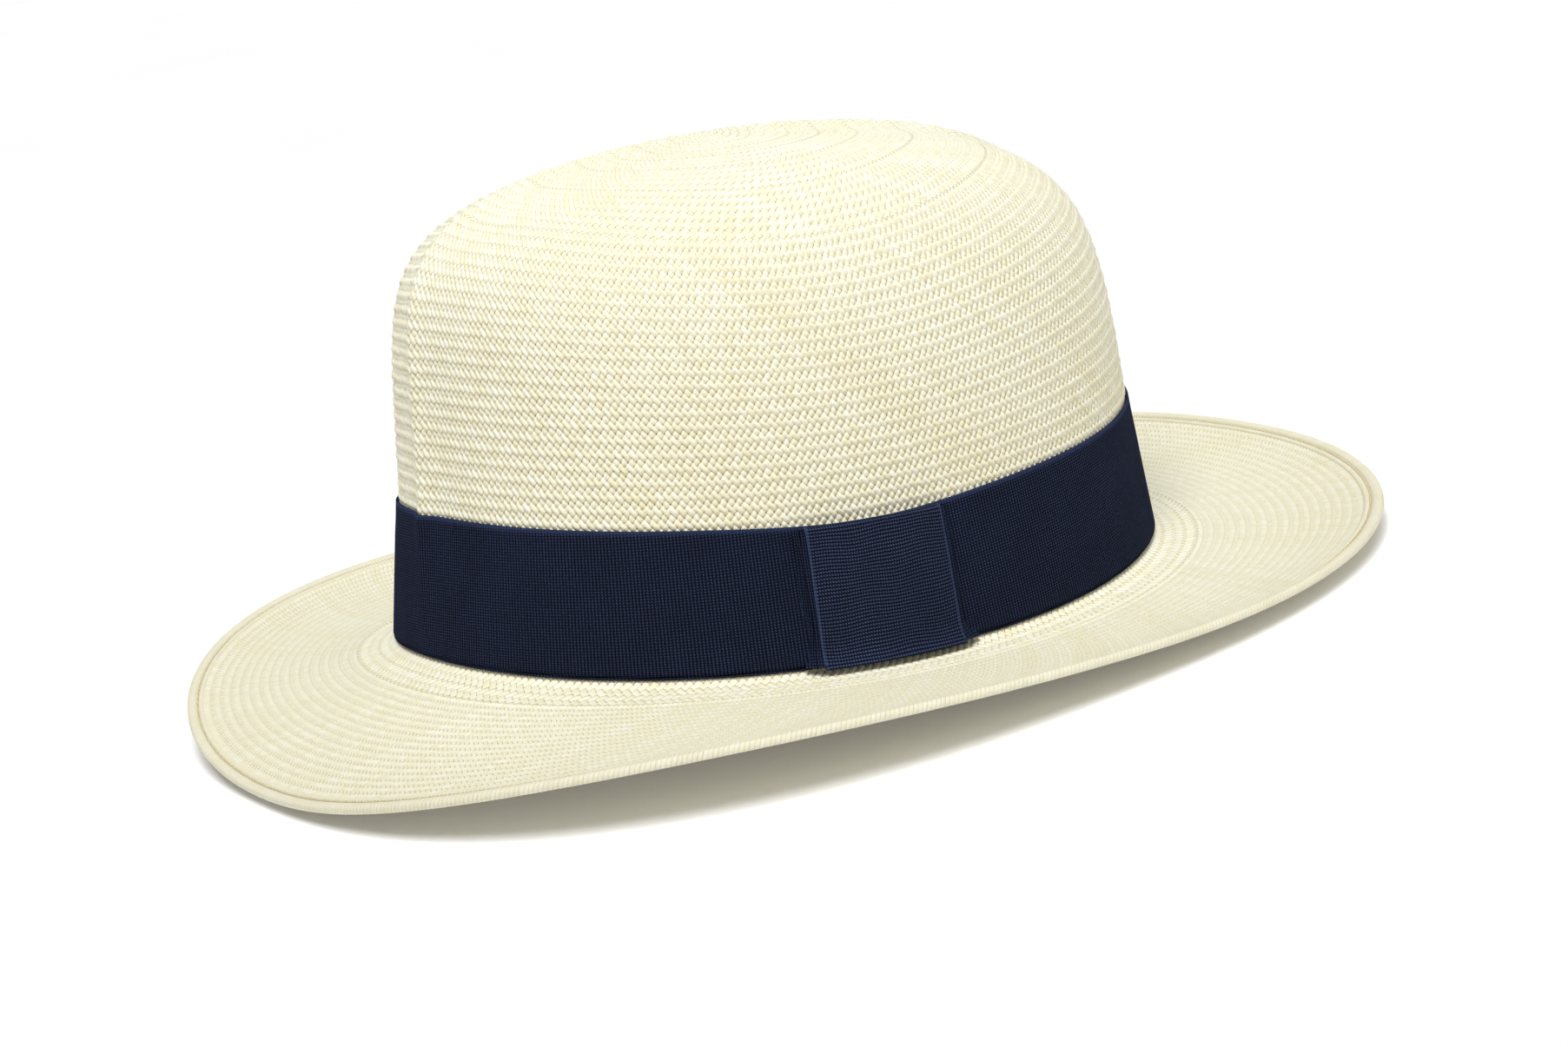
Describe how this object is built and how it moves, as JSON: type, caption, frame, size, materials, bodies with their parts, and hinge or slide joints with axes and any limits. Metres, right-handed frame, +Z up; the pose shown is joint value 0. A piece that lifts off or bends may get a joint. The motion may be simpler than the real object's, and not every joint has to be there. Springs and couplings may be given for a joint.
{
  "type": "straw hat",
  "caption": "Woven straw hat with a full round ridged crown, wide snap brim, navy grosgrain ribbon with a flat tab bow, and leather sweatband.",
  "frame": {"origin": "centre of the bounding box at its lowest point, so the hat stands on its brim at z = 0", "axes": "-Y towards the hat's front, +X towards the wearer's left (the bow's side), +Z up from the floor"},
  "size_m": [0.2988, 0.3164, 0.1348],
  "materials": {
    "straw": "hand-woven split palm straw, bleached cream-white, slightly waxy",
    "hem_thread": "straw-coloured machine thread",
    "ribbon": "navy grosgrain, fine cross ribs, matt with a slight sheen",
    "navy_thread": "navy sewing thread",
    "leather": "thin natural sheepskin, smooth with a fine grain",
    "tape": "cream cotton-rayon tape",
    "reed_plastic": "milky flexible plastic strip",
    "label_cloth": "blank woven satin label"
  },
  "bodies": {
    "root": {"straw_body": "straw", "brim_hem_thread": "hem_thread", "ribbon_band": "ribbon", "bow_pleats": "ribbon", "bow_keeper": "ribbon", "ribbon_tack_front": "navy_thread", "ribbon_tack_right": "navy_thread", "ribbon_tack_back": "navy_thread", "sweatband": "leather", "sweatband_binding": "tape", "sweatband_reed": "reed_plastic", "sweatband_thread": "leather", "sweatband_seam_tape": "tape", "sweatband_bow": "tape", "size_label": "label_cloth"}
  },
  "joints": []
}
